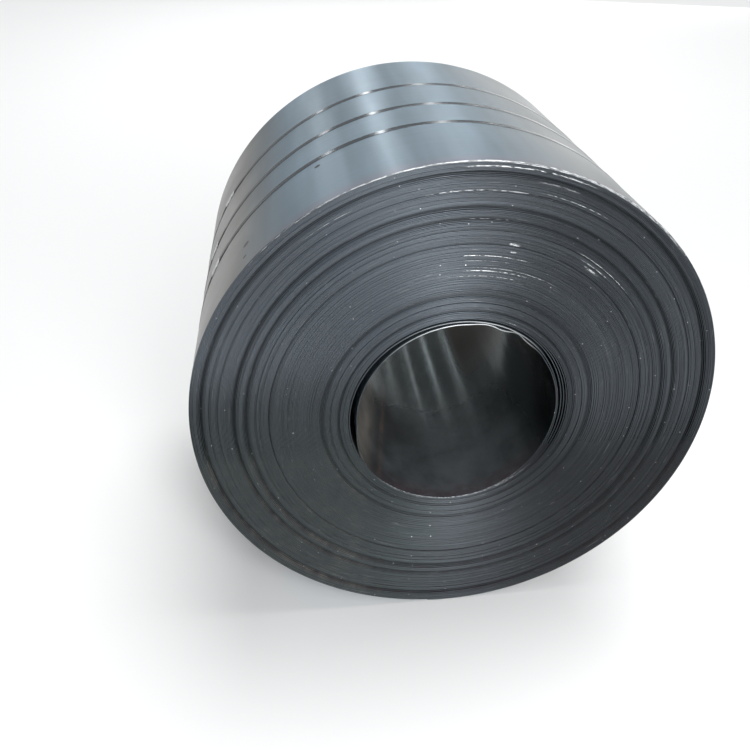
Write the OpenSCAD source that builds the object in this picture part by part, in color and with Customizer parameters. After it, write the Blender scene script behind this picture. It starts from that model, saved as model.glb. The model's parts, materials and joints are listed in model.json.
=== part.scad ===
// Hot-rolled steel strip coil, lying on its side with three circumferential steel straps.
// The axis of the coil runs along Y, the front end is at -Y, and the coil stands on Z = 0.

/* [Coil] */
// Outside diameter over the outermost turn
outside_diameter = 1850; // [1300:10:2300]
// Diameter of the hole through the wound turns
bore_diameter = 762; // [508:2:940]
// Width of the strip, which is the length of the coil
strip_width = 1350; // [1050:10:1700]
// Thickness of the strip
strip_thickness = 4; // [2:0.5:8]
// Depth of the notch between two neighbouring turns, on each end
turn_notch = 1.2; // [0.5:0.1:3]

/* [Loose inner turn] */
// How much smaller than the bore the loose innermost turn is, measured on its outside diameter
inner_turn_slack = 34; // [10:1:50]
// How far the loose turn beds into the turn that it lies on, so that the strip stays one piece
inner_turn_bedding = 1; // [0.5:0.25:1.5]

/* [Straps] */
// Width of the steel strapping
strap_width = 32; // [19:1:50]
// Thickness of the steel strapping
strap_thickness = 1; // [0.5:0.1:2]
// Distance from the front end to the middle of the front strap
front_strap_from_end = 397; // [100:1:420]
// Distance from the front strap to the middle strap
front_to_middle_strap = 236; // [60:1:280]
// Distance from the middle strap to the rear strap
middle_to_rear_strap = 288; // [60:1:300]
// Length of strapping that lies double, under a seal and on either side of it
strap_lap = 170; // [120:10:400]

/* [Seals] */
// Length of a crimped seal along its strap
seal_length = 65; // [60:1:110]
// Thickness of the sheet that a seal is folded from
seal_thickness = 1.5; // [0.8:0.1:2.5]
// Gap between a seal and the strapping inside it
seal_clearance = 0.25; // [0.1:0.05:0.6]
// Number of crimp notches along each edge of a seal
crimp_count = 3; // [1:1:4]
// Length of one crimp notch along the strap
crimp_length = 8; // [4:1:12]
// How far a crimp notch bites in from the edge of a seal
crimp_bite = 4; // [2:0.5:8]

/* [Hidden] */
$fn = 180;

strip_colour = "#5d676f";
strap_colour = "#3a3b3d";
seal_colour = "#8d8f90";

outer_r = outside_diameter / 2;
bore_r = bore_diameter / 2;
half_width = strip_width / 2;
turns = floor((outer_r - bore_r) / strip_thickness);
turn_pitch = (outer_r - bore_r) / turns;
axis_height = outer_r + strap_thickness;

inner_turn_r = bore_r - inner_turn_slack / 2;
inner_turn_drop = bore_r - inner_turn_r + inner_turn_bedding;

// Groups of turns that were wound a little to one side of the rest, from the bore outwards.
// Each is [share of all the turns at which the group ends, how far it is shifted towards +Y].
turn_groups = [
    [0.05, 4], [0.07, 9], [0.12, 4], [0.15, 7], [0.17, 3], [0.21, 8], [0.35, 3], [0.50, 1],
    [0.51, 6], [0.64, 0], [0.665, 7], [0.71, -6], [0.735, 8], [0.80, -2], [0.83, -6], [0.875, -3],
    [0.915, -5], [0.95, 4], [1, -9]
];

// Shift along Y of the turn with number i, counted from the bore
function turn_shift(i) = [for (g = turn_groups) if ((i + 0.5) / turns < g[0]) g[1]][0];

// Outline of all the turns' edges on one end: a notch, the crest of a turn, the next notch.
// side is -1 for the front end and 1 for the rear end.
function end_outline(side) = [
    for (i = [0 : turns - 1])
        for (step = [0, 0.5, 1])
            [bore_r + (i + step) * turn_pitch,
             side * (half_width - (step == 0.5 ? 0 : turn_notch)) + turn_shift(i)]
];

function reversed(points) = [for (i = [len(points) - 1 : -1 : 0]) points[i]];

// Middles of the straps along Y, and the direction in which each seal sits, seen from the front
front_strap_y = -half_width + front_strap_from_end;
middle_strap_y = front_strap_y + front_to_middle_strap;
strap_y = [front_strap_y, middle_strap_y, middle_strap_y + middle_to_rear_strap];
seal_direction = [152, 155, 148];

// Angle, in degrees, of a length along the outside of the coil
function outside_angle(length) = length / outer_r * 180 / PI;

// Stands a shape that was made around Z on the axis of the coil
module on_coil_axis() {
    translate([0, 0, axis_height]) rotate([-90, 0, 0]) children();
}

// Part of a ring around the axis, of span degrees, with its middle in the given direction
module arc_piece(section, span, direction) {
    rotate([0, 0, -direction - span / 2]) rotate_extrude(angle = span) polygon(section);
}

// Corners of a rectangle between two radii, centred at z
function band_section(inner, outer, width, z) = [
    [inner, z - width / 2], [outer, z - width / 2], [outer, z + width / 2], [inner, z + width / 2]
];

module wound_turns() {
    rotate_extrude() polygon(concat(end_outline(-1), reversed(end_outline(1))));
}

// The innermost turn has sprung away from the others and lies in the bottom of the bore
module loose_inner_turn() {
    translate([0, inner_turn_drop, -half_width]) difference() {
        cylinder(r = inner_turn_r, h = strip_width);
        translate([0, 0, -1]) cylinder(r = inner_turn_r - strip_thickness, h = strip_width + 2);
    }
}

module coil() {
    color(strip_colour) on_coil_axis() union() {
        wound_turns();
        loose_inner_turn();
    }
}

// A strap goes once round the coil and is double only at the seal, where its ends lie on each other
module strap(k) {
    single_span = 360 - outside_angle(strap_lap);
    single_r = outer_r + strap_thickness;
    double_r = outer_r + 2 * strap_thickness;
    color(strap_colour) on_coil_axis() difference() {
        rotate_extrude() polygon(band_section(outer_r, double_r, strap_width, strap_y[k]));
        arc_piece(band_section(single_r, double_r + strap_thickness, 2 * strap_width, strap_y[k]),
                  single_span, seal_direction[k] + 180);
    }
}

// Section of a seal: a channel over both layers of strapping, with its legs down beside them
function seal_section(z) =
    let (top_inner = outer_r + 2 * strap_thickness + seal_clearance,
         top_outer = top_inner + seal_thickness,
         foot = outer_r + seal_clearance,
         leg_inner = strap_width / 2 + seal_clearance,
         leg_outer = leg_inner + seal_thickness)
    [
        [foot, z - leg_outer], [top_outer, z - leg_outer], [top_outer, z + leg_outer], [foot, z + leg_outer],
        [foot, z + leg_inner], [top_inner, z + leg_inner], [top_inner, z - leg_inner], [foot, z - leg_inner]
    ];

module seal(k) {
    edge = strap_width / 2 + seal_clearance + seal_thickness;
    crimp_pitch = outside_angle(seal_length / crimp_count);
    tall = 8 * (strap_thickness + seal_thickness);
    color(seal_colour) on_coil_axis() difference() {
        arc_piece(seal_section(strap_y[k]), outside_angle(seal_length), seal_direction[k]);
        for (n = [0 : crimp_count - 1]) for (side = [-1, 1]) {
            rotate([0, 0, -seal_direction[k] + (n - (crimp_count - 1) / 2) * crimp_pitch])
                translate([outer_r, 0, strap_y[k] + side * edge])
                    cube([tall, crimp_length, 2 * crimp_bite], center = true);
        }
    }
}

coil();
strap(0);  // strap_front
strap(1);  // strap_middle
strap(2);  // strap_rear
seal(0);  // seal_front
seal(1);  // seal_middle
seal(2);  // seal_rear
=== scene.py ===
"""Looks of a hot-rolled steel coil that lies on its side with three steel straps round it.

The strip is one Archimedean spiral: its loose innermost turn, its wound turns and its outermost turn
are three pieces that follow the same formulas. Lengths are in metres, and mm() turns millimetres
into them. The axis of the coil runs along Y, and its front end is at -Y.
"""
import json
import math

import bpy
import numpy as np
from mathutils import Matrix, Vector


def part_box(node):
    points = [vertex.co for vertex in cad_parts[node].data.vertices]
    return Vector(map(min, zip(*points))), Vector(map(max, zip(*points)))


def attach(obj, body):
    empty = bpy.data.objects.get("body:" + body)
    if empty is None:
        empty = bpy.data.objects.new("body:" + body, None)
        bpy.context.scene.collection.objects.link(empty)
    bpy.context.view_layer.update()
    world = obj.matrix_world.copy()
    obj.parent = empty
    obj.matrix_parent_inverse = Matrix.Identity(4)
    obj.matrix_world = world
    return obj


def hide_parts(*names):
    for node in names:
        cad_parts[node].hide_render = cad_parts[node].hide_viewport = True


bl_info = {
    "name": "Hot-Rolled Steel Coil",
    "version": (1, 0, 0),
    "blender": (4, 5, 0),
    "location": "3D View > Sidebar > Steel Coil",
    "description": "Builds the strip, straps and seals of a hot-rolled steel coil",
    "category": "Add Mesh",
}

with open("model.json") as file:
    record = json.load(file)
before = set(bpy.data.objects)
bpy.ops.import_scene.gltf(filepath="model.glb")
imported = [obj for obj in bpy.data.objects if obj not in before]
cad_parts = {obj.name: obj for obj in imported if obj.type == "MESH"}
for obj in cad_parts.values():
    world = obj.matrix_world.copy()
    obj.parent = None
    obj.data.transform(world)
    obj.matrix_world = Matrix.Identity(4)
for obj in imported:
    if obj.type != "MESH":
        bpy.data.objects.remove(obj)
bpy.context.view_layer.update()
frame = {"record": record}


def mm(length):
    return length / 1000


COIL_LOW, COIL_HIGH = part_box("coil")
AXIS_Z = (COIL_LOW.z + COIL_HIGH.z) / 2
OUTER_R = (COIL_HIGH.x - COIL_LOW.x) / 2
END_Y = COIL_HIGH.y
BORE_MOUNT = next(m for m in frame["record"]["mounts"] if m["name"] == "bore")
STRIP_WIDTH = mm(BORE_MOUNT["dims"]["length_mm"])
BORE_WALL = mm(381)
STRAP_NAMES = ["front", "middle", "rear"]
STRAP_LOW, STRAP_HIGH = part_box("strap_front")
TURN = 2 * math.pi

# Where the strip begins and ends, as directions seen from the front, anticlockwise from +X
INNER_TAIL = math.radians(212)
OUTER_TAIL = math.radians(-95)

# Outline of the ends, from the bore outwards: share of the wound turns, and shift towards +Y in mm
END_OUTLINE = [
    (0, 3), (0.05, 4), (0.2, 4), (0.35, 3), (0.5, 1), (0.63, 0), (0.69, -5), (0.75, -2), (0.81, -3),
    (0.9, -4), (0.925, -5), (0.955, -8), (1, -8.5),
]
# Groups of turns that sit deeper than their neighbours: share, depth in mm, half width in turns
GROOVES = [
    (0.065, 6, 1.2), (0.121, 3, 0.8), (0.173, 7, 2), (0.35, 1.5, 0.7), (0.505, 5, 0.8), (0.566, 1.5, 0.6),
    (0.59, 2, 0.7), (0.651, 10, 2), (0.724, 11, 2), (0.807, -2, 0.7), (0.829, 3, 0.7), (0.875, 2.5, 0.8),
    (0.926, 12, 1.9),
]


def linear(hex_colour):
    """Linear RGBA of an sRGB colour such as "#8a97a1"."""
    parts = [int(hex_colour[i:i + 2], 16) / 255 for i in (1, 3, 5)]
    return tuple(c / 12.92 if c <= 0.04045 else ((c + 0.055) / 1.055) ** 2.4 for c in parts) + (1.0,)


# ---------------------------------------------------------------- settings

class CoilSize(bpy.types.PropertyGroup):
    mandrel: bpy.props.FloatProperty(
        name="Mandrel diameter", description="Diameter of the bore through the wound turns",
        default=2 * BORE_WALL, unit="LENGTH")
    turns: bpy.props.IntProperty(
        name="Turns", description="Whole turns of strip, the loose innermost one included",
        default=136, min=20, max=200)
    air: bpy.props.FloatProperty(
        name="Air between turns", description="Gap between two neighbouring turns",
        default=mm(0.35), unit="LENGTH")
    weave: bpy.props.FloatProperty(
        name="Weave", description="How far the strip wandered sideways as it was wound",
        default=mm(0.7), unit="LENGTH")
    looseness: bpy.props.FloatProperty(
        name="Loose turn gap", description="Widest gap outside the loose innermost turn",
        default=mm(25), unit="LENGTH")


class StrapSize(bpy.types.PropertyGroup):
    width: bpy.props.FloatProperty(
        name="Strap width", description="Width of the strapping",
        default=STRAP_HIGH.y - STRAP_LOW.y, unit="LENGTH")
    thickness: bpy.props.FloatProperty(
        name="Strap thickness", description="Thickness of the strapping",
        default=STRAP_HIGH.x - OUTER_R, unit="LENGTH")
    lap: bpy.props.FloatProperty(
        name="Lap", description="Length over which the two ends of a strap lie on each other",
        default=mm(170), unit="LENGTH")
    seal_length: bpy.props.FloatProperty(
        name="Seal length", description="Length of a seal along its strap",
        default=mm(65), unit="LENGTH")
    seal_sheet: bpy.props.FloatProperty(
        name="Seal sheet", description="Thickness of the sheet that a seal is folded from",
        default=mm(1.5), unit="LENGTH")


class CoilFinish(bpy.types.PropertyGroup):
    scale: bpy.props.FloatVectorProperty(
        name="Mill scale", description="Colour of the outer rolled face of the strip",
        subtype="COLOR", size=4, default=linear("#9bafbd"))
    bore: bpy.props.FloatVectorProperty(
        name="Bore scale", description="Colour of the inner rolled face of the strip",
        subtype="COLOR", size=4, default=linear("#434a4b"))
    edge: bpy.props.FloatVectorProperty(
        name="Strip edge", description="Colour of the edges of the strip",
        subtype="COLOR", size=4, default=linear("#464b50"))
    # Colour of chipped steel, also used for the painted glints on the edges.
    chipped_and_glint: bpy.props.FloatVectorProperty(
        name="Bare steel", description="Colour where the edges of the strip are chipped or rubbed",
        subtype="COLOR", size=4, default=linear("#dfe2e4"))
    rust: bpy.props.FloatVectorProperty(
        name="Rust", description="Colour of the thin rust on the inner end of the strip",
        subtype="COLOR", size=4, default=linear("#a8a29a"))
    strap: bpy.props.FloatVectorProperty(
        name="Strapping", description="Colour of the blued strapping",
        subtype="COLOR", size=4, default=linear("#5f676e"))
    seal: bpy.props.FloatVectorProperty(
        name="Seal", description="Colour of the crimped seals",
        subtype="COLOR", size=4, default=linear("#dcdee0"))


class StudioSettings(bpy.types.PropertyGroup):
    lens: bpy.props.FloatProperty(
        name="Lens", description="Focal length of the camera, in millimetres", default=38.03)
    surround: bpy.props.FloatProperty(
        name="Surround", description="Brightness of the even light from all sides", default=0.4)
    key: bpy.props.FloatProperty(
        name="Key light", description="Strength of the soft key light, high at the rear right", default=2.2)
    strips: bpy.props.FloatProperty(
        name="Strip lights", description="Radiance of the strip lights over the rear", default=6.6)
    front: bpy.props.FloatProperty(
        name="Front light", description="Radiance of the tall softbox in front", default=16.0)
    rear: bpy.props.FloatProperty(
        name="Rear light", description="Radiance of the wide softbox at the rear right", default=0.65)


# ---------------------------------------------------------------- strip

def smooth(x):
    """Smooth step of x from 0 at 0 to 1 at 1: 3x^2 - 2x^3."""
    x = np.clip(x, 0, 1)
    return x * x * (3 - 2 * x)


def last_turn(size):
    """The outer tail's place along the spiral, in turns from the inner tail."""
    return size.turns + (INNER_TAIL - OUTER_TAIL) / TURN % 1


def pitch(size):
    return (OUTER_R - size.mandrel / 2) / last_turn(size)


def direction(turn):
    """Angle at a place along the spiral, which winds clockwise seen from the front."""
    return INNER_TAIL - TURN * turn


def bell(x):
    """Bell curve: e to the power of -x squared."""
    return np.exp(-np.square(x))


def loose_gap(size, turn):
    """Gap outside the innermost turn: it opens over the first tenth of a turn, narrows at the top,
    and closes where the turn comes to lie in the bottom of the bore. The next turn has a smaller gap,
    a half sine wave along its first seven tenths. On the right the first turns are slack: their shares
    of the gap are a bell curve of the direction times one of the turn."""
    opening = smooth(turn / 0.09)
    top = 1 - 0.45 * bell((turn - 0.36) / 0.13)
    closing = 1 - smooth((turn - 0.6) / 0.26)
    second = 0.24 * np.sin(math.pi * np.clip((turn - 1) / 0.7, 0, 1))
    from_right = (direction(turn) + math.pi) % TURN - math.pi
    slack = 0.85 * bell(from_right / 0.9) * bell((turn - 1) / 2.6) * (turn > 1)
    return size.looseness * (opening * top * closing + second + slack)


def inner_face_radius(size, turn):
    """Radius of the strip's inner face: it grows by one pitch a turn from the bore, less the gap
    outside the loose innermost turn."""
    wound = size.mandrel / 2 + pitch(size) * (turn - 1)
    return wound - loose_gap(size, turn)


def sideways(size, turn):
    """Shift of the strip along Y: the ends' outline, a bell curve for each groove, a cosine that sets
    the first turns deeper on the right, and the weave, a sum of sine waves that take from a fifth of a
    turn to nine turns."""
    wound = last_turn(size) - 1
    share = (np.asarray(turn) - 1) / wound
    outline = np.interp(share, *np.transpose(END_OUTLINE))
    place, depth, half_width = np.transpose(GROOVES)
    bells = depth * bell((share[..., None] - place) * wound / half_width)
    rng = np.random.default_rng(7)
    per_turn = np.concatenate([rng.uniform(0.11, 0.5, 14), rng.uniform(0.6, 4.6, 6)])
    strength = np.concatenate([np.full(14, 0.3), np.full(6, 0.07)])
    phase = rng.uniform(0, TURN, 20)
    weave = (strength * np.sin(TURN * per_turn * np.asarray(turn)[..., None] + phase)).sum(-1)
    first_turns = 4 * bell((turn - 3) / 1.6) * (1 + np.cos(direction(turn)))
    limit = END_Y - STRIP_WIDTH / 2
    return np.clip(mm(outline + bells.sum(-1) + first_turns) + size.weave * weave, -limit, limit)


def closed_strip(rings):
    """Faces of a closed tube through rings of points, an array of stations by points: quads between
    neighbouring stations, and one polygon on each end."""
    stations, around = rings.shape[:2]
    index = np.arange(stations * around).reshape(stations, around)
    here, ahead = index[:-1], index[1:]
    quads = np.stack([here, np.roll(here, -1, 1), np.roll(ahead, -1, 1), ahead], -1).reshape(-1, 4)
    return quads, [index[0][::-1], index[-1]]


def volume(points, quads):
    """Signed volume under the quads: a sum of triple products, over their two triangles."""
    a, b, c, d = (points[quads[:, i]] for i in range(4))
    return (np.cross(b, c) * a).sum() / 6 + (np.cross(c, d) * a).sum() / 6


def add_mesh(name, rings, materials, slots, sharp=math.radians(40)):
    """A mesh object from rings of points. slots gives each quad around a ring its material."""
    points = rings.reshape(-1, 3)
    quads, caps = closed_strip(rings)
    if volume(points - points.mean(0), quads) < 0:
        quads = quads[:, ::-1]
        caps = [cap[::-1] for cap in caps]
    mesh = bpy.data.meshes.new(name)
    mesh.from_pydata(points.tolist(), [], quads.tolist() + [cap.tolist() for cap in caps])
    for material in materials:
        mesh.materials.append(material)
    per_quad = np.tile(slots, len(rings) - 1)
    mesh.polygons.foreach_set("material_index", np.append(per_quad, [0, 0]).astype(np.int32))
    mesh.polygons.foreach_set("use_smooth", np.ones(len(mesh.polygons), bool))
    mesh.set_sharp_from_angle(angle=sharp)
    mesh.update()
    made = bpy.data.objects.new(name, mesh)
    bpy.context.scene.collection.objects.link(made)
    return made


def strip_section(rows, worn, edge=mm(1)):
    """Section of the strip as depth from the front edge and share of the gauge from the inner face,
    and a material slot for each side: 0 outer face, 1 edges, 2 inner face. rows are the depths at which
    the rolled faces have points, and each edge rises to a low crest. worn lists the points, as share
    and depth, that round off the outer corner at the front."""
    inner = np.concatenate([[edge], rows, [STRIP_WIDTH - edge]])
    corner = np.reshape(worn, (-1, 2))
    outer = inner[1:] if len(corner) else inner
    depth = np.concatenate([[0], corner[:, 1], outer, [STRIP_WIDTH], inner[::-1]])
    share = np.concatenate([[0.5], corner[:, 0], np.ones(len(outer)), [0.5], np.zeros(len(inner))])
    slots = [1] * (1 + len(corner)) + [0] * (len(outer) - 1) + [1, 1] + [2] * (len(inner) - 1) + [1]
    return depth, share, np.array(slots)


def strip_piece(size, name, turn, rows=(), worn=(), dent=None):
    """Carries the strip's section along the spiral: at each station the section stands across the
    strip at its inner radius, shifted sideways, and dent moves its points by radius and by Y."""
    depth, share, slots = strip_section(rows, worn)
    gauge = pitch(size) - size.air
    radius = inner_face_radius(size, turn)[:, None] + gauge * share
    y = (sideways(size, turn) - STRIP_WIDTH / 2)[:, None] + depth
    if dent is not None:
        out, along = dent(turn[:, None], depth, share)
        radius, y = radius + out, y + along
    angle = direction(turn)[:, None]
    rings = np.stack([radius * np.cos(angle), y, AXIS_Z + radius * np.sin(angle)], -1)
    made = add_mesh(name, rings, coil_materials(), slots)
    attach(made, "root")
    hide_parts("coil")
    return made


def waves(place, per_unit, seed):
    """Sum of sine waves with the given numbers of waves per unit of place, each in its own phase."""
    phase = np.random.default_rng(seed).uniform(0, TURN, len(per_unit))
    return np.sin(TURN * np.outer(place, per_unit) + phase).sum(-1) / len(per_unit)


def off_the_floor(angle):
    """0 on the lowest eighth of the coil, which bears on the floor, and a smooth rise to 1 above it."""
    return smooth((np.sin(angle) + 0.92) / 0.3)


def skin_ripple(angle):
    """Ripples of the skin, up to 0.5 mm outwards, 11 to 61 of them round the coil."""
    wave = waves(angle / TURN, [11, 17, 23, 29, 37, 47, 61], 3)
    return mm(0.25) * (1 + wave) * off_the_floor(angle)


def knocked_skin(turn, depth, share):
    """Ripples of the outermost turn, and knocks in its front edge: the parts of a noise over a limit
    chip it up to 1.5 mm deep, and another noise beats its corner down by up to 0.8 mm."""
    angle = direction(turn)
    upper = smooth((np.sin(angle) - 0.3) / 0.4) * np.exp(-depth / mm(3))
    chips = waves(angle[:, 0] / TURN, [83, 113, 151, 197, 241, 307], 11)[:, None]
    beaten = waves(angle[:, 0] / TURN, [59, 97, 139, 173, 211, 263], 12)[:, None]
    out = skin_ripple(angle[:, 0])[:, None] - mm(0.8) * np.clip(beaten + 0.4, 0, 1) * upper * (share > 0.6)
    return out, mm(3) * np.clip(chips - 0.12, 0, 0.5) * upper


def crumple(turn, depth, share):
    """Shape of the loose turn: shallow waves round the bore, and dents of its front edge at the upper
    right, three waves that die away into the bore."""
    place = (turn - 0.42) / 0.05
    reach = bell(place) * np.exp(-depth / mm(45))
    shallow = mm(0.35) * waves(turn[:, 0], [14, 19, 27, 33, 45], 5)[:, None]
    return shallow + mm(4.5) * reach * np.sin(place * 6 + 1), mm(6) * reach * (1 + np.sin(place * 4))


def skin_radius(size, angle):
    """Radius of the coil's skin under a strap: the outermost turn's outer face, and a straight line from
    the corner of the outer tail down to the turn below it."""
    behind = (angle - OUTER_TAIL) % TURN
    turn = last_turn(size) - behind / TURN
    skin = inner_face_radius(size, turn) + pitch(size) - size.air + skin_ripple(angle)
    below = OUTER_R - pitch(size)
    reach = math.acos(below / OUTER_R)
    to_landing = behind - (TURN - reach)
    return np.where(to_landing > 0, np.maximum(skin, below / np.cos(to_landing)), skin)


def crimps(along):
    """Three crimps of a seal, 18 mm apart: a bell curve for each."""
    return sum(bell((along - mm(18) * k) / mm(4)) for k in (-1, 0, 1))


def strap_place(name):
    """A strap's place along Y, and the direction of its seal."""
    low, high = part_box("strap_" + name)
    seal_low, seal_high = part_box("seal_" + name)
    seal = (seal_low + seal_high) / 2
    return (low.y + high.y) / 2, math.atan2(seal.z - AXIS_Z, seal.x)


def band(name, angle, radius, sides, material, node):
    """Carries a section round the coil. sides holds the section's offsets along Y, and radius its
    radii, both as stations by points."""
    angle = angle[:, None]
    rings = np.stack([radius * np.cos(angle), sides, AXIS_Z + radius * np.sin(angle)], -1)
    made = add_mesh(name, rings, [material], np.zeros(rings.shape[1], int))
    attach(made, "root")
    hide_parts(node)
    return made


def strap_piece(size, strap, name, material):
    """A strap: its rounded flat section starts under the seal, goes once round on the skin with a slight
    ripple, climbs on its own beginning and ends past the seal. The crimps pinch both of its layers."""
    y, seal = strap_place(name)
    lap = strap.lap / OUTER_R
    even = np.linspace(0, TURN + lap, 1101)
    fine = np.linspace(-1, 1, 41) * strap.seal_length / 2 / OUTER_R + lap / 2
    run = np.union1d(even, np.concatenate([fine, fine + TURN]))
    angle = seal - lap / 2 + run
    climb_length = mm(26)
    climb = smooth((run - TURN) * OUTER_R / climb_length + 1)
    seed = 20 + STRAP_NAMES.index(name)
    ripple = mm(0.15) * (1 + waves(angle / TURN, [31, 53, 71, 83, 97], seed)) * off_the_floor(angle)
    flat_length = mm(110)
    flattened = sum(bell((angle - middle) * OUTER_R / flat_length) for middle in (seal, seal + TURN))
    ripple = ripple * (1 - flattened)
    layer_gap = mm(0.1)
    base = skin_radius(size, angle) + ripple + climb * (strap.thickness + layer_gap)
    rounding = strap.thickness * 0.4
    quarter = np.radians([0, 45, 90])
    flat = strap.width / 2 - rounding
    across = np.append(flat + rounding * np.cos(quarter), flat - mm(0.6))
    rise = np.append(strap.thickness / 2 - rounding + rounding * np.sin(quarter), strap.thickness / 2)
    across = np.concatenate([across, -across[::-1], -across, across[::-1]])
    height = strap.thickness / 2 + np.concatenate([rise, rise[::-1], -rise, -rise[::-1]])
    along = ((angle - seal + math.pi) % TURN - math.pi) * OUTER_R
    bite = mm(3)
    narrow = 1 - bite / (strap.width / 2) * crimps(along)
    sides = y + narrow[:, None] * across
    radius = base[:, None] + height
    return band(name + "_strap", angle, radius, sides, material, "strap_" + name)


def seal_piece(size, strap, name, material):
    """A seal: sheet folded into a channel over both layers of its strap, with rounded shoulders. At each
    crimp its sides bite in and its shoulders are pressed down."""
    y, seal = strap_place(name)
    along = np.linspace(-1, 1, 53) * strap.seal_length / 2
    angle = seal + along / OUTER_R
    inside = strap.width / 2 + mm(0.3)
    outside = inside + strap.seal_sheet
    ceiling = 2 * strap.thickness + mm(0.5)
    top = ceiling + strap.seal_sheet
    foot = mm(0.05)
    shell = np.array([
        [outside, foot], [outside, 0.6 * top], [outside - mm(0.5), top - mm(0.4)], [outside - mm(1.6), top],
        [outside - mm(7), top], [0, top],
    ])
    lining = np.array([
        [0, ceiling], [inside - mm(5), ceiling], [inside, ceiling - mm(0.3)], [inside, foot],
    ])
    outer = np.concatenate([shell, shell[-2::-1] * [-1, 1]])
    inner = np.concatenate([lining[::-1] * [-1, 1], lining[1:]])
    section = np.concatenate([outer, inner])
    shoulder = mm(8)
    bite = mm(3.2)
    press = 0.35
    bitten = crimps(along)[:, None] * np.clip((np.abs(section[:, 0]) - outside) / shoulder + 1, 0, 1)
    sides = y + section[:, 0] - np.sign(section[:, 0]) * bite * bitten
    height = section[:, 1] * (1 - press * bitten)
    radius = skin_radius(size, angle)[:, None] + height
    return band(name + "_seal", angle, radius, sides, material, "seal_" + name)


# ---------------------------------------------------------------- materials

def add_node(tree, kind, inputs=None, **settings):
    """Adds a node with its settings, gives each input a value or a link from another socket, and
    returns the first of its outputs that these settings leave in use."""
    made = tree.nodes.new(kind)
    for name, value in settings.items():
        setattr(made, name, value)
    for socket, value in (inputs or {}).items():
        if isinstance(value, bpy.types.NodeSocket):
            tree.links.new(value, made.inputs[socket])
        else:
            made.inputs[socket].default_value = value
    return next(socket for socket in made.outputs if socket.enabled)


def new_material(name):
    """A material, its node tree, and the inputs of the shader in it."""
    material = bpy.data.materials.new(name)
    material.use_nodes = True
    return material, material.node_tree, material.node_tree.nodes["Principled BSDF"].inputs


def around_axis(tree):
    """Sockets for the place from the coil's axis, its X, Y and Z, its radius, and the unit vector away
    from the axis."""
    origin = add_node(tree, "ShaderNodeTexCoord").node.outputs["Object"]
    place = add_node(tree, "ShaderNodeMapping", {"Vector": origin, "Location": (0, 0, -AXIS_Z)})
    axes = add_node(tree, "ShaderNodeSeparateXYZ", {0: place}).node.outputs
    flat = add_node(tree, "ShaderNodeVectorMath", {0: place, 1: (1, 0, 1)}, operation="MULTIPLY")
    radius = add_node(tree, "ShaderNodeVectorMath", {0: flat}, operation="LENGTH")
    away = add_node(tree, "ShaderNodeVectorMath", {0: flat}, operation="NORMALIZE")
    return place, axes, radius, away


def round_and(tree, away, middle):
    """A place that changes round the coil and with another value: the unit vector away from the axis,
    with that value as its Y."""
    parts = add_node(tree, "ShaderNodeSeparateXYZ", {0: away}).node.outputs
    return add_node(tree, "ShaderNodeCombineXYZ", {"X": parts["X"], "Y": middle, "Z": parts["Z"]})


def uneven(tree, place, stretch, low, high, detail=4.0):
    """Noise over a place that is stretched along its three axes. The noise's usual spread, from 0.3 to
    0.7, becomes tones from low to high."""
    stretched = add_node(tree, "ShaderNodeVectorMath", {0: place, 1: stretch}, operation="MULTIPLY")
    noise = add_node(tree, "ShaderNodeTexNoise",
                     {"Vector": stretched, "Scale": 1.0, "Detail": detail, "Roughness": 0.6})
    return add_node(tree, "ShaderNodeMapRange", {0: noise, 1: 0.3, 2: 0.7, 3: low, 4: high})


def region(tree, *limits, strength=1.0):
    """Mask of a region: its strength, times a smooth step for each limit, which is 0 where the limit's
    value is at the first bound and 1 where it is at the second."""
    mask = strength
    for value, at_0, at_1 in limits:
        step = add_node(tree, "ShaderNodeMapRange", {0: value, 1: at_0, 2: at_1},
                        interpolation_type="SMOOTHSTEP")
        mask = add_node(tree, "ShaderNodeMath", {0: mask, 1: step}, operation="MULTIPLY")
    return mask


def layered(tree, colour, tones, coats):
    """A colour, made lighter or darker by each tone, then covered by each coat: a mask and a colour."""
    made = tuple(colour)[:3]
    for tone in tones:
        made = add_node(tree, "ShaderNodeVectorMath", {0: made, "Scale": tone}, operation="SCALE")
    for mask, coat in coats:
        made = add_node(tree, "ShaderNodeMix", {0: mask, 6: made, 7: coat}, data_type="RGBA")
    return made


def mark(tree, place, degrees, y, radius, size):
    """Mask of a mark with soft sides, on the strip in a direction from the axis: 1 in its middle and
    0 past its size along X, Y and Z."""
    angle = math.radians(degrees)
    middle = radius * math.cos(angle), y, radius * math.sin(angle)
    off = add_node(tree, "ShaderNodeVectorMath", {0: place, 1: middle}, operation="SUBTRACT")
    shares = add_node(tree, "ShaderNodeVectorMath", {0: off, 1: size}, operation="DIVIDE")
    far = add_node(tree, "ShaderNodeVectorMath", {0: shares}, operation="LENGTH")
    return region(tree, (far, 1.0, 0.55))


# Dark knocks in the skin: direction in degrees, place along Y, and half width
KNOCKS = [(118.7, mm(-345), mm(14)), (138.1, mm(-506), mm(18)), (138.3, mm(-596), mm(11))]


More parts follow.
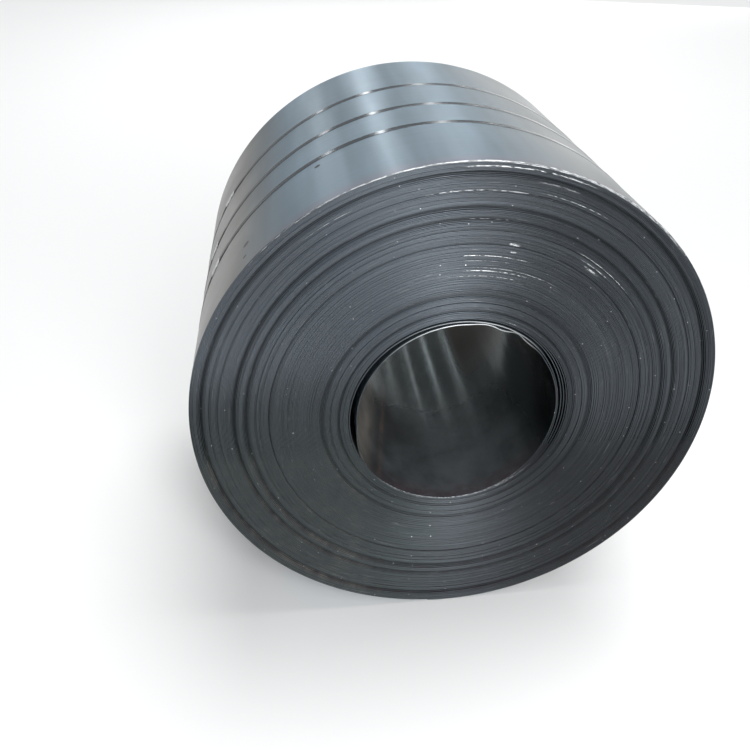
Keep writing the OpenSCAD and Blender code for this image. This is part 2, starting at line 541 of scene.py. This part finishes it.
def mill_scale(finish):
    """Hot-rolled mill scale: a tight blue-grey oxide skin left by the rolls. It gives a soft, cloudy gloss,
    with faint streaks along the rolling direction, which runs round the coil, and painted reflections: light
    and dark bands along the axis, a tone that changes round the axis. The left flank has a painted warm
    brown reflection, and the right a painted grey one."""
    material, tree, shader = new_material("hot_rolled_mill_scale")
    place, axes, _, away = around_axis(tree)
    tones = [
        uneven(tree, place, (3, 70, 3), 0.96, 1.03),
        uneven(tree, place, (3.2, 3.2, 3.2), 0.93, 1.05),
        # Tone that changes round the axis and slowly along it: painted reflections, light and dark bands
        # along the axis.
        uneven(tree, round_and(tree, away, axes["Y"]), (9, 0.7, 9), 0.84, 1.1, detail=2.0),
    ]
    front_edge = region(tree, (axes["Y"], mm(80) - END_Y, -END_Y),
                        (axes["Z"], 0.5 * OUTER_R, 0.9 * OUTER_R), strength=0.6)
    # Painted reflections: warm brown on the left flank, grey on the right.
    flank = region(tree, (axes["X"], -0.56 * OUTER_R, -0.8 * OUTER_R), strength=0.9)
    right = region(tree, (axes["X"], 0, 0.45 * OUTER_R), strength=0.8)
    coats = [(front_edge, linear("#a6a0ad")), (flank, linear("#67625a")), (right, linear("#a4a4a1"))]
    for degrees, y, half_width in KNOCKS:
        coats.append((mark(tree, place, degrees, y, OUTER_R, (half_width,) * 3), linear("#1f2022")))
    tree.links.new(layered(tree, finish.scale, tones, coats), shader["Base Color"])
    tree.links.new(uneven(tree, place, (3.2, 3.2, 3.2), 0.3, 0.38), shader["Roughness"])
    shader["Metallic"].default_value = 0.92
    return material


def bore_scale(finish):
    """Mill scale on the face that was wound inwards: darker, glossier and finely grained, with painted
    reflections in streaks along the axis. The inner end of the strip is dusty, with a faint rusty line
    beside it. The bottom towards the front is dusty and carries painted light from the front, the lower
    front edge has a purple rust bloom, the right side is dark brown with painted shade towards the rear, and
    there is a dark spot at the bottom."""
    material, tree, shader = new_material("dark_bore_scale")
    place, axes, _, away = around_axis(tree)
    tones = [
        # Tone that changes round the axis: painted reflections, streaks along the axis.
        uneven(tree, round_and(tree, away, axes["Y"]), (7, 1.5, 7), 0.8, 1.15),
        uneven(tree, place, (9, 9, 9), 0.85, 1.1),
        uneven(tree, place, (60, 60, 60), 0.8, 1.15),
    ]

    # The inner end was cut at a slant, so its dusty patch and the line beside it run slantwise too
    lean = 0.1455
    slant = add_node(tree, "ShaderNodeVectorMath", {0: place, 1: (1, -lean, 0)}, operation="DOT_PRODUCT")
    inner_end = [(axes["Z"], mm(-40), mm(-180)), (axes["Y"], mm(150), mm(-350))]
    patch = region(tree, (slant, mm(-190), mm(-250)), *inner_end,
                   strength=uneven(tree, place, (14, 5, 14), 0.45, 0.95))
    line = region(tree, (slant, mm(-166), mm(-180)), (slant, mm(-196), mm(-184)), *inner_end,
                  strength=uneven(tree, place, (25, 9, 25), 0.0, 0.8))
    # Lighter towards the bottom front: dusty, with painted light from the front.
    dust_and_front_light = region(tree, (axes["Y"], mm(150), mm(-600)), (axes["Z"], mm(-80), mm(-300)),
                  strength=uneven(tree, place, (9, 9, 9), 0.5, 0.85))
    bloom = region(tree, (axes["Y"], mm(110) - END_Y, mm(20) - END_Y), (axes["Z"], mm(-120), mm(-290)),
                   strength=uneven(tree, place, (22, 30, 22), 0.0, 1.0))
    # Dark brown on the right towards the rear: a brown stain with painted shade.
    brown = region(tree, (axes["X"], mm(165), mm(205)), (axes["Y"], mm(-100), mm(300)), strength=0.85)
    spot = mark(tree, place, -79.9, mm(150), mm(360), (mm(9), mm(14), mm(9)))
    coats = [
        (brown, linear("#2f271f")), (dust_and_front_light, linear("#606468")), (patch, tuple(finish.rust)),
        (line, linear("#8a7468")), (bloom, linear("#4d4047")), (spot, linear("#060606")),
    ]
    tree.links.new(layered(tree, finish.bore, tones, coats), shader["Base Color"])
    grain = uneven(tree, place, (180, 120, 180), 0.0, 1.0)
    bump = add_node(tree, "ShaderNodeBump", {"Height": grain, "Strength": 0.25, "Distance": mm(0.15)})
    tree.links.new(bump, shader["Normal"])

    dull = 0.0
    for mask in (patch, line, dust_and_front_light, bloom, brown):
        dull = add_node(tree, "ShaderNodeMath", {0: dull, 1: mask}, operation="MAXIMUM")
    for socket, clean, dirty in (("Metallic", 0.95, 0.3), ("Roughness", 0.19, 0.6)):
        tree.links.new(add_node(tree, "ShaderNodeMapRange", {0: dull, 3: clean, 4: dirty}), shader[socket])
    return material


# Rubbed arcs on the front end, painted as glints: radius, direction of the middle and half length in
# degrees, half width
RUBBED_GLINT_ARCS = [
    (mm(829), 88, 13, mm(1.8)), (mm(840), 67, 9, mm(1.5)), (mm(906), 78, 15, mm(3)),
    (mm(737), 84, 7, mm(1)), (mm(705), 50, 11, mm(1.8)), (mm(690), 52, 6, mm(1.6)),
    (mm(677), 53, 3, mm(4)), (mm(573), 74, 16, mm(1.2)), (mm(563), 80, 12, mm(1.5)),
    (mm(598), 84, 9, mm(1)), (mm(661), 77, 1.7, mm(6)), (mm(636), 76.7, 1.1, mm(3.5)),
    (mm(860), 120, 6, mm(1)), (mm(395), 62, 8, mm(1)), (mm(872), 72, 5, mm(2)),
    (mm(919), 126, 12, mm(1.3)), (mm(615), 82, 12, mm(1)), (mm(545), 84, 14, mm(1)),
]
# Coats on both ends: a painted highlight on the upper left, then painted shade on the lower left and on the
# lower right. Each has a colour, a strength, and along X and Z, in outer radii, where it is absent and where
# it is full
END_LIGHT_AND_SHADE = [
    ("#646b72", 0.8, (0.05, -0.4), (0.05, 0.4)), ("#3b4243", 0.85, (0.15, -0.3), (0.25, -0.15)),
    ("#2a2d2f", 0.9, (-0.1, 0.5), (0.15, -0.35)),
]


def painted_light_and_shade_coats(tree, axes, radius):
    """Coats on the edges of the strip: a painted highlight, painted shade, and painted shade in the deep
    grooves.
    """
    coats = []
    # Painted highlight on the upper left, painted shade on the lower left and lower right.
    for colour, strength, x_bounds, z_bounds in END_LIGHT_AND_SHADE:
        limits = [(axes["X"], *np.multiply(x_bounds, OUTER_R)), (axes["Z"], *np.multiply(z_bounds, OUTER_R))]
        coats.append((region(tree, *limits, strength=strength), linear(colour)))
    one_turn = pitch(bpy.context.scene.coil_size)
    shaded_from = 5
    # Painted shade in the deeper grooves.
    for share, depth, half_width in GROOVES:
        if depth >= shaded_from:
            middle = BORE_WALL + share * (OUTER_R - BORE_WALL)
            reach = 1.1 * half_width * one_turn
            sides = [(radius, middle + k * reach, middle) for k in (-1, 1)]
            coats.append((region(tree, *sides, strength=0.6), linear("#1d2022")))
    return coats


def chips_and_glints(tree, axes, radius, ringed):
    """Masks of light steel on the edges: burrs and specks, and painted glints: the chipped outer corner, the
    rim of the bore at its top and its bottom, and the rubbed arcs. The arcs, the bottom rim and the chips of
    the corner are broken up into dashes, which are on the front end alone."""
    dash_noise = uneven(tree, ringed, (42, 300, 42), 0.3, 0.7, detail=3.0)
    dashes = region(tree, (dash_noise, 0.44, 0.56), (axes["Y"], mm(100), mm(-100)))

    # The corner is chipped deeper towards the right of the top, and its chips carry a painted glint
    chipped_glint_from = add_node(tree, "ShaderNodeMapRange", {
        0: axes["X"], 1: -0.8 * OUTER_R, 2: 0.35 * OUTER_R, 3: OUTER_R - mm(3), 4: OUTER_R - mm(9),
    })
    past = add_node(tree, "ShaderNodeMath", {0: radius, 1: chipped_glint_from}, operation="SUBTRACT")
    corner = [
        (past, 0, mm(1.2)), (axes["Z"], 0.45 * OUTER_R, 0.72 * OUTER_R),
        (axes["X"], -0.8 * OUTER_R, -0.3 * OUTER_R), (axes["X"], 0.8 * OUTER_R, 0.66 * OUTER_R),
    ]
    burr_noise = uneven(tree, ringed, (7, 520, 7), 0.3, 0.7, detail=3.0)
    flat = add_node(tree, "ShaderNodeCombineXYZ", {"X": axes["X"], "Y": axes["Z"]})
    cells = add_node(tree, "ShaderNodeTexVoronoi", {"Vector": flat, "Scale": 14.0},
                     voronoi_dimensions="2D").node.outputs
    chance = add_node(tree, "ShaderNodeSeparateColor", {0: cells["Color"]})
    angle = add_node(tree, "ShaderNodeMath", {0: axes["Z"], 1: axes["X"]}, operation="ARCTAN2")
    # Painted highlights along the rim of the bore at its top and its bottom.
    top_rim = region(tree, (radius, mm(379), mm(376)), (axes["Z"], mm(220), mm(350)), strength=0.5)
    low_rim = region(tree, (radius, mm(388), mm(384)), (axes["Z"], mm(-200), mm(-330)), strength=dashes)
    masks = [
        # Painted glints on the chipped outer corner at the top.
        region(tree, *corner, strength=dashes),
        region(tree, *corner, strength=0.3),
        top_rim,
        region(tree, (low_rim, 0.0, 3.0)),
        region(tree, (burr_noise, 0.66, 0.74), strength=0.35),
        region(tree, (cells["Distance"], 0.032, 0.014), (chance, 0.55, 0.95), strength=0.8),
    ]
    # Painted glints along the rubbed arcs.
    for arc_radius, middle, half_length, half_width in RUBBED_GLINT_ARCS:
        limits = []
        for k in (-1, 1):
            limits.append((radius, arc_radius + k * half_width, arc_radius + 0.3 * k * half_width))
            limits.append((angle, *np.radians([middle + k * half_length, middle + 0.6 * k * half_length])))
        masks.append(region(tree, *limits, strength=dashes))
    return masks


def strip_edge(finish):
    """Sheared and rubbed edges of hot-rolled strip, turn beside turn: matt, darker than the rolled faces,
    each turn a little lighter or darker than the next. Burrs and knocks show steel through the scale in
    short arcs and specks. The rubbed arcs, the rims of the bore and, most of all, the outer corner carry
    painted glints on chipped and rubbed steel. The ends carry a painted highlight on the upper left and
    painted shade on the lower left, the lower right and in the deep grooves."""
    material, tree, shader = new_material("rolled_strip_edge")
    _, axes, radius, away = around_axis(tree)
    ringed = round_and(tree, away, radius)
    tones = [
        uneven(tree, ringed, (0.7, 250, 0.7), 0.72, 1.2, detail=2.0),
        uneven(tree, ringed, (0.6, 30, 0.6), 0.82, 1.1, detail=3.0),
        uneven(tree, ringed, (2, 90, 2), 0.86, 1.1, detail=2.0),
    ]
    # Painted highlight and painted shade on the ends, then chipped steel and painted glints.
    coats = painted_light_and_shade_coats(tree, axes, radius)
    coats += [(mask, tuple(finish.chipped_and_glint)) for mask in chips_and_glints(tree, axes, radius, ringed)]
    tree.links.new(layered(tree, finish.edge, tones, coats), shader["Base Color"])

    scratches = uneven(tree, ringed, (4, 700, 4), 0.3, 0.7, detail=2.0)
    bump = add_node(tree, "ShaderNodeBump", {"Height": scratches, "Strength": 0.5, "Distance": mm(0.4)})
    tree.links.new(bump, shader["Normal"])
    shader["Metallic"].default_value = 0.8
    shader["Roughness"].default_value = 0.45
    return material


def blued_strapping(finish):
    """Blued steel strapping: a thin dark oxide over bright cold-rolled steel, glossy, so it breaks up into
    dark stretches and glints. It has a lighter painted reflection on the right, has begun to rust on the
    left flank, and is black with painted shadow and dirt beside its seal."""
    material, tree, shader = new_material("blued_strapping")
    place, axes, _, _ = around_axis(tree)
    rust = region(tree, (axes["X"], -0.5 * OUTER_R, -0.85 * OUTER_R),
                  strength=uneven(tree, place, (16, 90, 16), 0.55, 0.95))
    # Painted reflection: lighter on the right.
    worn = region(tree, (axes["X"], 0.05 * OUTER_R, 0.35 * OUTER_R), strength=0.55)
    coats = [(rust, linear("#3a332c")), (worn, linear("#9c9e9e"))]
    # Painted shadow and dirt: black beside each seal.
    for name in STRAP_NAMES:
        y, seal = strap_place(name)
        shadow_and_dirt_beside_seal = mark(tree, place, math.degrees(seal), y, OUTER_R, (mm(75),) * 3)
        coats.append((shadow_and_dirt_beside_seal, linear("#161514")))
    colour = layered(tree, finish.strap, [uneven(tree, place, (16, 90, 16), 0.65, 1.2)], coats)
    tree.links.new(colour, shader["Base Color"])
    tree.links.new(add_node(tree, "ShaderNodeMapRange", {0: rust, 3: 0.15, 4: 0.5}), shader["Roughness"])
    shader["Metallic"].default_value = 0.95
    return material


def crimped_seal(finish):
    """Zinc-coated steel sheet, folded and crimped: light grey and slightly mottled, with a satin gloss on
    top, and painted shadow with dirt along the foot of its sides."""
    material, tree, shader = new_material("crimped_seal_steel")
    place, _, radius, _ = around_axis(tree)
    # Painted shadow and dirt along the foot of the sides.
    foot = region(tree, (radius, OUTER_R - mm(1.4), OUTER_R - mm(2.4)))
    colour = layered(tree, finish.seal, [uneven(tree, place, (120, 120, 120), 0.4, 1.2)],
                     [(foot, linear("#151617"))])
    tree.links.new(colour, shader["Base Color"])
    tree.links.new(uneven(tree, place, (120, 120, 120), 0.5, 0.28), shader["Roughness"])
    shader["Metallic"].default_value = 0.5
    return material


def coil_materials():
    """The outer face, the edges and the inner face of the strip, made once for all pieces of strip."""
    finish = bpy.context.scene.coil_finish
    makers = {
        "hot_rolled_mill_scale": mill_scale, "rolled_strip_edge": strip_edge, "dark_bore_scale": bore_scale,
    }
    return [bpy.data.materials.get(name) or make(finish) for name, make in makers.items()]


# ---------------------------------------------------------------- operators

class COIL_OT_wound_turns(bpy.types.Operator):
    """Winds the strip between its loose innermost turn and its outermost turn"""
    bl_idname = "coil.wound_turns"
    bl_label = "Wound Turns"

    def execute(self, context):
        size = context.scene.coil_size
        stations_per_turn = 118
        end = last_turn(size) - 1
        turn = np.linspace(1, end, int((end - 1) * stations_per_turn) + 1)
        strip_piece(size, "wound_turns", turn)
        return {"FINISHED"}


class COIL_OT_outer_turn(bpy.types.Operator):
    """Lays the outermost turn, which ends in the outer tail"""
    bl_idname = "coil.outer_turn"
    bl_label = "Outermost Turn"

    def execute(self, context):
        size = context.scene.coil_size
        end = last_turn(size)
        stations = 721
        turn = np.linspace(end - 1, end, stations)
        near = mm(np.array([4, 7, 12, 20, 40, 80, 160, 300, 500]))
        rows = np.concatenate([near, STRIP_WIDTH - near[::-1]])
        worn = [(0.75, mm(0.3)), (0.93, mm(1.2))]
        strip_piece(size, "outer_turn", turn, rows, worn, knocked_skin)
        return {"FINISHED"}


class COIL_OT_inner_turn(bpy.types.Operator):
    """Lays the loose innermost turn, which has sprung away from the bore"""
    bl_idname = "coil.inner_turn"
    bl_label = "Loose Inner Turn"

    def execute(self, context):
        size = context.scene.coil_size
        stations = 513
        turn = np.linspace(0, 1, stations)
        near = mm(np.array([3, 7, 12, 18, 26, 36, 50, 70, 100, 150, 250]))
        rows = np.concatenate([near, STRIP_WIDTH - near[::-1]])
        strip_piece(size, "loose_inner_turn", turn, rows, dent=crumple)
        return {"FINISHED"}


class COIL_OT_straps(bpy.types.Operator):
    """Lays the three straps round the coil"""
    bl_idname = "coil.straps"
    bl_label = "Straps"

    def execute(self, context):
        scene = context.scene
        material = blued_strapping(scene.coil_finish)
        for name in STRAP_NAMES:
            strap_piece(scene.coil_size, scene.strap_size, name, material)
        return {"FINISHED"}


class COIL_OT_seals(bpy.types.Operator):
    """Folds and crimps a seal over the lap of each strap"""
    bl_idname = "coil.seals"
    bl_label = "Seals"

    def execute(self, context):
        scene = context.scene
        material = crimped_seal(scene.coil_finish)
        for name in STRAP_NAMES:
            seal_piece(scene.coil_size, scene.strap_size, name, material)
        return {"FINISHED"}


def aim_light(lamp, place, target):
    """Puts a lamp in the scene at a place, pointing at a target, unseen by the camera."""
    light = bpy.data.objects.new(lamp.name, lamp)
    light.location = place
    light.rotation_euler = (Vector(target) - Vector(place)).to_track_quat("-Z", "Y").to_euler()
    light.visible_camera = False
    bpy.context.scene.collection.objects.link(light)


def softbox(name, place, target, size, radiance):
    """A rectangular light. Its power is its radiance times pi times its area."""
    lamp = bpy.data.lights.new(name, "AREA")
    lamp.shape = "RECTANGLE"
    lamp.size, lamp.size_y = size
    lamp.energy = radiance * math.pi * size[0] * size[1]
    aim_light(lamp, place, target)


class COIL_OT_studio(bpy.types.Operator):
    """Sets the floor, the lights and the camera"""
    bl_idname = "coil.studio"
    bl_label = "Studio"

    def execute(self, context):
        scene = context.scene
        studio = scene.coil_studio
        floor_half = 30
        corners = [(floor_half * x, floor_half * y, 0) for x, y in ((-1, -1), (1, -1), (1, 1), (-1, 1))]
        mesh = bpy.data.meshes.new("studio_floor")
        mesh.from_pydata(corners, [], [(0, 1, 2, 3)])
        floor = bpy.data.objects.new("studio_floor", mesh)
        scene.collection.objects.link(floor)
        material, _, shader = new_material("studio_floor")
        shader["Base Color"].default_value = linear("#e9e9e9")
        shader["Roughness"].default_value = 0.9
        mesh.materials.append(material)

        scene.world = bpy.data.worlds.new("studio_world")
        scene.world.use_nodes = True
        background = scene.world.node_tree.nodes["Background"]
        background.inputs["Color"].default_value = linear("#eef1f3")
        background.inputs["Strength"].default_value = studio.surround

        lamp = bpy.data.lights.new("key_light", "SUN")
        lamp.energy = studio.key
        lamp.angle = math.radians(45)
        aim_light(lamp, (2.4, 2.6, 10), (0, 0, 0))

        strip_height = AXIS_Z + 3.2
        far = 15.9
        for k, (x, near) in enumerate([(-2.65, 5.4), (-0.5, 4.5), (1.4, 4.5), (4.3, 4.5)]):
            middle = (near + far) / 2
            softbox(f"strip_light_{k}", (x, middle, strip_height), (x, middle, 0), (0.15, far - near),
                    studio.strips)
        softbox("front_light", (0.8, -5.0, 3.5), (0.5, 0, 3.5), (1.3, 4.2), studio.front)
        softbox("high_front_light", (-0.5, -3.2, 4.6), (0, -0.68, AXIS_Z), (2.4, 1.6), 0.12 * studio.front)
        softbox("rear_light", (6.5, 15.0, 1.8), (0, 0, 1), (6.0, 3.6), studio.rear)

        data = bpy.data.cameras.new("studio_camera")
        data.lens = studio.lens
        data.sensor_width = 36
        data.shift_x, data.shift_y = -0.0078, -0.0347
        data.clip_end = 200
        camera = bpy.data.objects.new("studio_camera", data)
        camera.location = (-0.525, -2.879, AXIS_Z + 1.658)
        camera.rotation_euler = (math.radians(90 - 31.55), 0, math.radians(-6.57))
        scene.collection.objects.link(camera)
        scene.camera = camera
        scene.view_settings.view_transform = "Standard"
        return {"FINISHED"}


class COIL_PT_builder(bpy.types.Panel):
    """Lists the coil's sizes, finishes and operators"""
    bl_idname = "COIL_PT_builder"
    bl_label = "Steel Coil"
    bl_space_type = "VIEW_3D"
    bl_region_type = "UI"
    bl_category = "Steel Coil"

    def draw(self, context):
        scene = context.scene
        for group in (getattr(scene, name) for name in SETTINGS):
            box = self.layout.box()
            for name in group.bl_rna.properties.keys():
                if name not in ("rna_type", "name"):
                    box.prop(group, name)
        for operator in OPERATORS:
            self.layout.operator(operator.bl_idname)


SETTINGS = {
    "coil_size": CoilSize, "strap_size": StrapSize, "coil_finish": CoilFinish,
    "coil_studio": StudioSettings,
}
OPERATORS = [
    COIL_OT_wound_turns, COIL_OT_outer_turn, COIL_OT_inner_turn, COIL_OT_straps, COIL_OT_seals,
    COIL_OT_studio,
]


def register():
    for cls in [*SETTINGS.values(), *OPERATORS, COIL_PT_builder]:
        bpy.utils.register_class(cls)
    for name, group in SETTINGS.items():
        setattr(bpy.types.Scene, name, bpy.props.PointerProperty(type=group))


def unregister():
    for name in SETTINGS:
        delattr(bpy.types.Scene, name)
    for cls in [COIL_PT_builder, *reversed(OPERATORS), *SETTINGS.values()]:
        bpy.utils.unregister_class(cls)


def main():
    register()
    bpy.ops.coil.wound_turns()
    bpy.ops.coil.outer_turn()
    bpy.ops.coil.inner_turn()
    bpy.ops.coil.straps()
    bpy.ops.coil.seals()
    bpy.ops.coil.studio()


if __name__ == "__main__":
    main()
